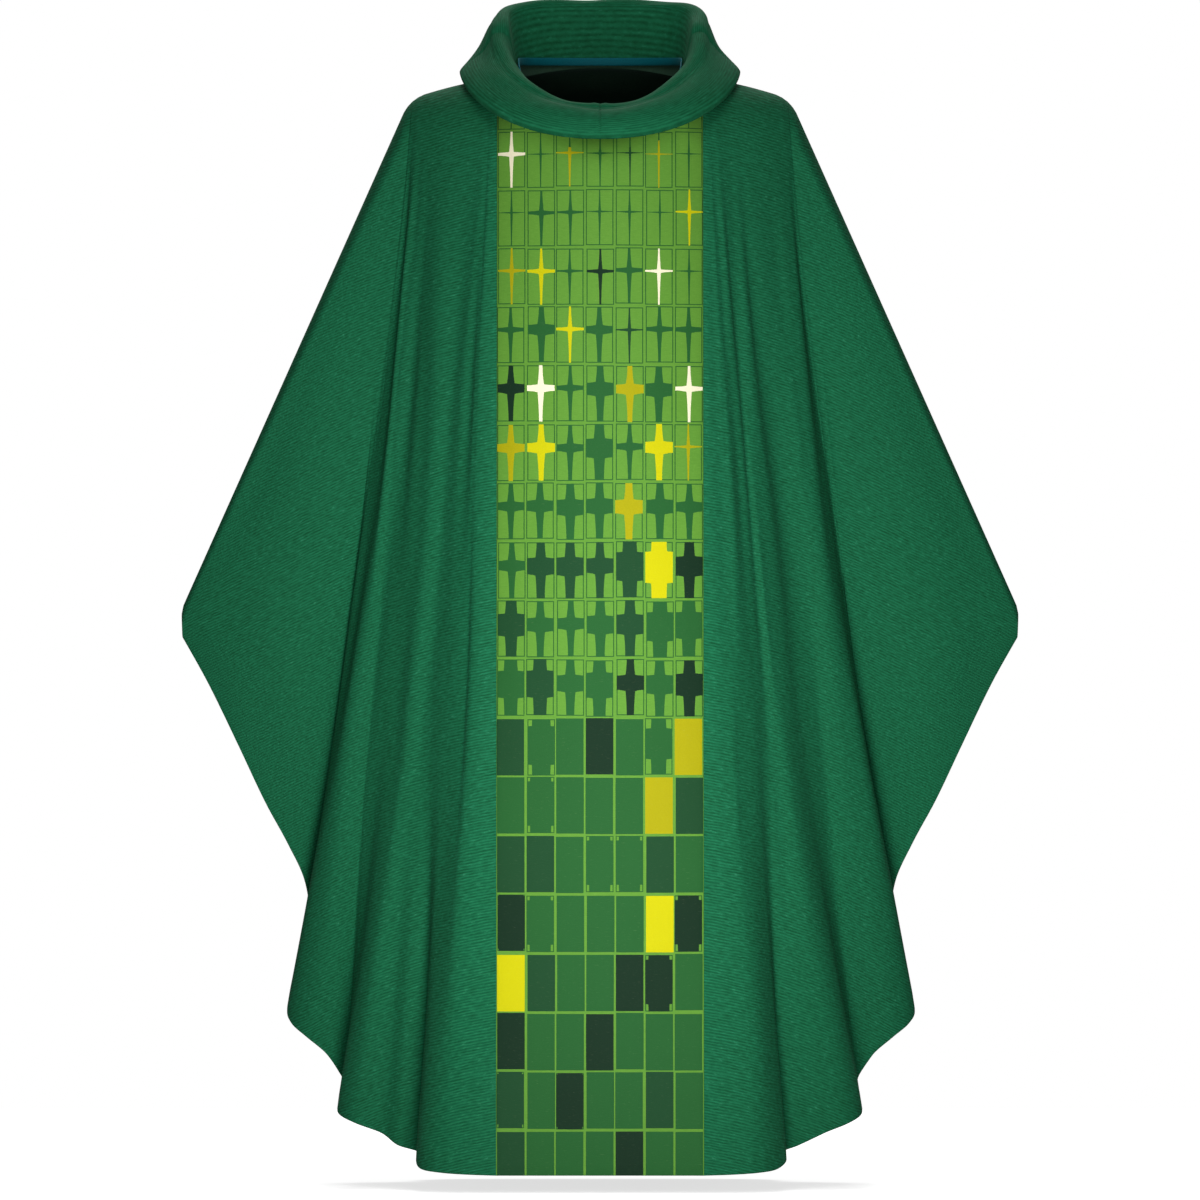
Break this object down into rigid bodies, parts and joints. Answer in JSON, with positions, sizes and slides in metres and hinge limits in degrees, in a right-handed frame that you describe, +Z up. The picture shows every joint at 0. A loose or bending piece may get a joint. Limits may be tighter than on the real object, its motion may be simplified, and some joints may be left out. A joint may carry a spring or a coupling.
{
  "type": "chasuble",
  "caption": "Gothic chasuble: wide green cloth vestment with a rolled collar, a patterned orphrey band down front and back, soft radiating folds and side wings.",
  "frame": {"origin": "middle of the neck, level with the line where neck and shoulders meet, which rests on the wearer", "axes": "+Z up, +X towards the wearer's left hand, -Y is the front of the garment"},
  "size_m": [0.9338, 0.4132, 1.3123],
  "materials": {
    "green_wool": "matte wool-like cloth with fine slubbed weft lines, mid to deep green",
    "orphrey_weave": "flat woven band, light green ground with darker green, ochre, yellow and cream crosses in a grid",
    "facing_cloth": "dark green plain lining cloth",
    "neck_braid": "petrol blue twill tape with a slight sheen"
  },
  "bodies": {
    "garment": {"front_orphrey": "orphrey_weave", "front_orphrey_backing": "facing_cloth", "front_orphrey_hem_facing": "facing_cloth", "back_orphrey": "orphrey_weave", "back_orphrey_backing": "facing_cloth", "back_orphrey_hem_facing": "facing_cloth", "left_front_fall": "green_wool", "left_front_fall_hem_facing": "facing_cloth", "left_back_fall": "green_wool", "left_back_fall_hem_facing": "facing_cloth", "left_shoulder_tape": "facing_cloth", "right_front_fall": "green_wool", "right_front_fall_hem_facing": "facing_cloth", "right_back_fall": "green_wool", "right_back_fall_hem_facing": "facing_cloth", "right_shoulder_tape": "facing_cloth", "collar_cloth": "green_wool", "collar_interlining": "facing_cloth", "neck_tape": "neck_braid"},
    "left_wing": {"left_front_wing": "green_wool", "left_back_wing": "green_wool", "left_front_wing_hem_facing": "facing_cloth", "left_back_wing_hem_facing": "facing_cloth", "left_wing_tape": "facing_cloth"},
    "right_wing": {"right_front_wing": "green_wool", "right_back_wing": "green_wool", "right_front_wing_hem_facing": "facing_cloth", "right_back_wing_hem_facing": "facing_cloth", "right_wing_tape": "facing_cloth"}
  },
  "joints": [
    {"name": "left_wing_lift", "type": "hinge", "parent": "garment", "child": "left_wing", "pos_m": [0.213, 0, -0.027], "axis": [0, -1, 0], "range_deg": [0, 20]},
    {"name": "right_wing_lift", "type": "hinge", "parent": "garment", "child": "right_wing", "pos_m": [-0.213, 0, -0.027], "axis": [0, 1, 0], "range_deg": [0, 20]}
  ]
}
